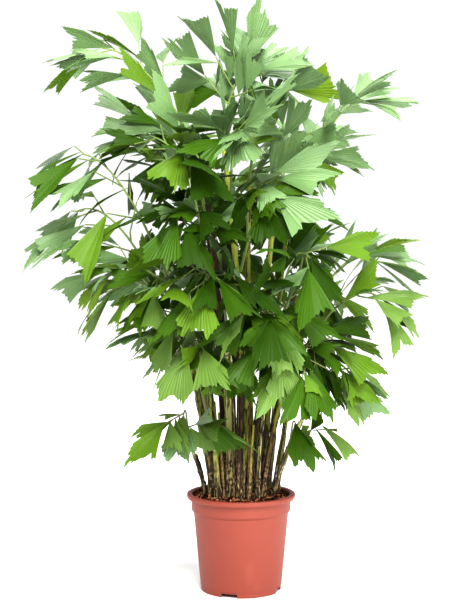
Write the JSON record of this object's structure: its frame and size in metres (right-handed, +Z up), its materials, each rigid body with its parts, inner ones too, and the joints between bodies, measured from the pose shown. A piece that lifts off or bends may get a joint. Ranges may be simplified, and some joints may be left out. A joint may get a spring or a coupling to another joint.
{
  "type": "potted fishtail palm",
  "caption": "Multi-stemmed fishtail palm with arching fronds of wedge-shaped notched leaflets, in a terracotta-coloured plastic nursery pot.",
  "frame": {"origin": "centre of the flat pad under the pot, on the surface that the pot stands on", "axes": "+Z up, -Y towards the side that the picture shows, +X to the right in it"},
  "size_m": [0.9999, 0.8572, 1.4767],
  "materials": {
    "pot_plastic": "satin moulded plastic",
    "soil": "coarse bark and coir",
    "cane": "fibrous, ringed",
    "foliage": "semi-gloss leaf"
  },
  "bodies": {
    "root": {"pot": "pot_plastic", "soil": "soil", "cane_01": "cane", "cane_02": "cane", "cane_03": "cane", "cane_04": "cane", "cane_05": "cane", "cane_06": "cane", "cane_07": "cane", "cane_08": "cane", "cane_09": "cane", "cane_10": "cane", "cane_11": "cane", "cane_12": "cane", "cane_13": "cane", "cane_14": "cane", "cane_15": "cane", "cane_16": "cane", "cane_17": "cane", "cane_18": "cane", "cane_19": "cane", "cane_20": "cane", "frond_01": "foliage", "frond_02": "foliage", "frond_03": "foliage", "frond_04": "foliage", "frond_05": "foliage", "frond_06": "foliage", "frond_07": "foliage", "frond_08": "foliage", "frond_09": "foliage", "frond_10": "foliage", "frond_11": "foliage", "frond_12": "foliage", "frond_13": "foliage", "frond_14": "foliage", "frond_15": "foliage", "frond_16": "foliage", "frond_17": "foliage", "frond_18": "foliage", "frond_19": "foliage", "frond_20": "foliage", "frond_21": "foliage", "frond_22": "foliage", "frond_23": "foliage", "frond_24": "foliage", "frond_25": "foliage", "frond_26": "foliage", "frond_27": "foliage", "frond_28": "foliage", "frond_29": "foliage", "frond_30": "foliage", "frond_31": "foliage", "frond_32": "foliage", "frond_33": "foliage", "frond_34": "foliage", "frond_35": "foliage", "frond_36": "foliage", "frond_37": "foliage", "frond_38": "foliage"}
  },
  "joints": []
}
